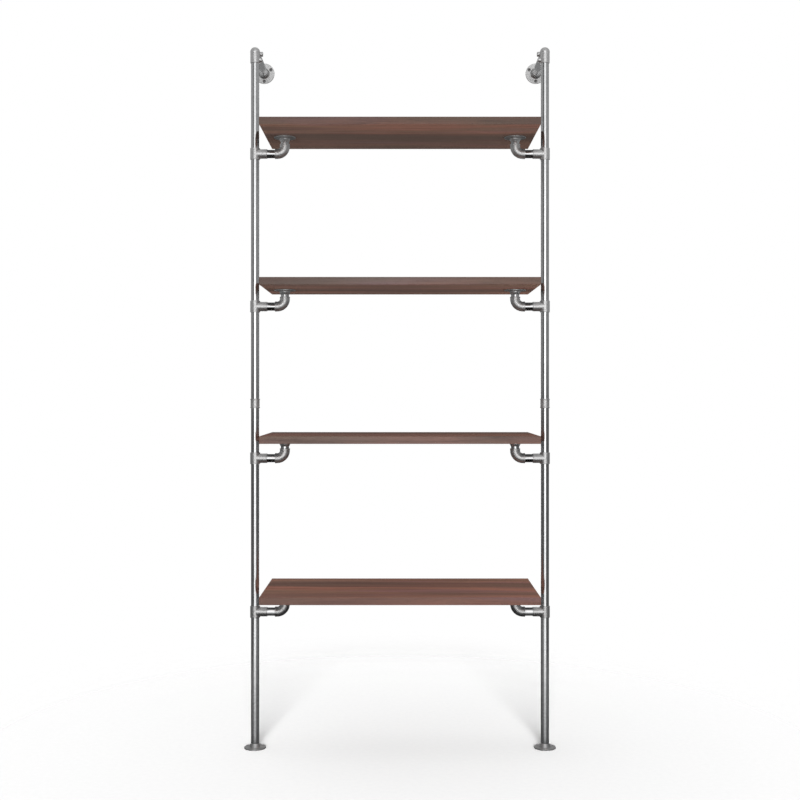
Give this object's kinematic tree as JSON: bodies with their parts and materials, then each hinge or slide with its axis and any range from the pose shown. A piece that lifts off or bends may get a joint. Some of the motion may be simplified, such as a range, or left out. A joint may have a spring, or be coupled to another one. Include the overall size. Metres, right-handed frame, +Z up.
{
  "type": "pipe shelving unit",
  "caption": "Tall open shelving unit of galvanised pipe uprights and brackets that stands on the floor, is braced to a wall and carries plain wooden boards.",
  "frame": {"origin": "on the floor, midway between the uprights and midway between the shelves' front edge and the wall", "axes": "+X to the viewer's right along the shelves, +Y back to the wall, +Z up"},
  "size_m": [1.021, 0.48, 2.316],
  "materials": {
    "galvanised_pipe": "galvanised steel pipe, smooth with a faint spangle",
    "galvanised_fitting": "galvanised malleable casting, satin",
    "walnut_board": "oiled walnut, grain along the length",
    "zinc_screw": "zinc plated"
  },
  "bodies": {
    "root": {"left_floor_flange": "galvanised_fitting", "left_lower_upright": "galvanised_pipe", "left_upright_coupling": "galvanised_fitting", "left_upper_upright": "galvanised_pipe", "left_top_elbow": "galvanised_fitting", "left_wall_arm": "galvanised_pipe", "left_wall_flange": "galvanised_fitting", "left_shelf_tee_1": "galvanised_fitting", "left_bracket_stub_1": "galvanised_pipe", "left_bracket_elbow_1": "galvanised_fitting", "left_bracket_riser_1": "galvanised_pipe", "left_shelf_flange_1": "galvanised_fitting", "left_shelf_tee_2": "galvanised_fitting", "left_bracket_stub_2": "galvanised_pipe", "left_bracket_elbow_2": "galvanised_fitting", "left_bracket_riser_2": "galvanised_pipe", "left_shelf_flange_2": "galvanised_fitting", "left_shelf_tee_3": "galvanised_fitting", "left_bracket_stub_3": "galvanised_pipe", "left_bracket_elbow_3": "galvanised_fitting", "left_bracket_riser_3": "galvanised_pipe", "left_shelf_flange_3": "galvanised_fitting", "left_shelf_tee_4": "galvanised_fitting", "left_bracket_stub_4": "galvanised_pipe", "left_bracket_elbow_4": "galvanised_fitting", "left_bracket_riser_4": "galvanised_pipe", "left_shelf_flange_4": "galvanised_fitting", "right_floor_flange": "galvanised_fitting", "right_lower_upright": "galvanised_pipe", "right_upright_coupling": "galvanised_fitting", "right_upper_upright": "galvanised_pipe", "right_top_elbow": "galvanised_fitting", "right_wall_arm": "galvanised_pipe", "right_wall_flange": "galvanised_fitting", "right_shelf_tee_1": "galvanised_fitting", "right_bracket_stub_1": "galvanised_pipe", "right_bracket_elbow_1": "galvanised_fitting", "right_bracket_riser_1": "galvanised_pipe", "right_shelf_flange_1": "galvanised_fitting", "right_shelf_tee_2": "galvanised_fitting", "right_bracket_stub_2": "galvanised_pipe", "right_bracket_elbow_2": "galvanised_fitting", "right_bracket_riser_2": "galvanised_pipe", "right_shelf_flange_2": "galvanised_fitting", "right_shelf_tee_3": "galvanised_fitting", "right_bracket_stub_3": "galvanised_pipe", "right_bracket_elbow_3": "galvanised_fitting", "right_bracket_riser_3": "galvanised_pipe", "right_shelf_flange_3": "galvanised_fitting", "right_shelf_tee_4": "galvanised_fitting", "right_bracket_stub_4": "galvanised_pipe", "right_bracket_elbow_4": "galvanised_fitting", "right_bracket_riser_4": "galvanised_pipe", "right_shelf_flange_4": "galvanised_fitting", "shelf_1": "walnut_board", "shelf_2": "walnut_board", "shelf_3": "walnut_board", "shelf_4": "walnut_board", "set_screws": "zinc_screw", "wood_screws": "zinc_screw"}
  },
  "joints": []
}
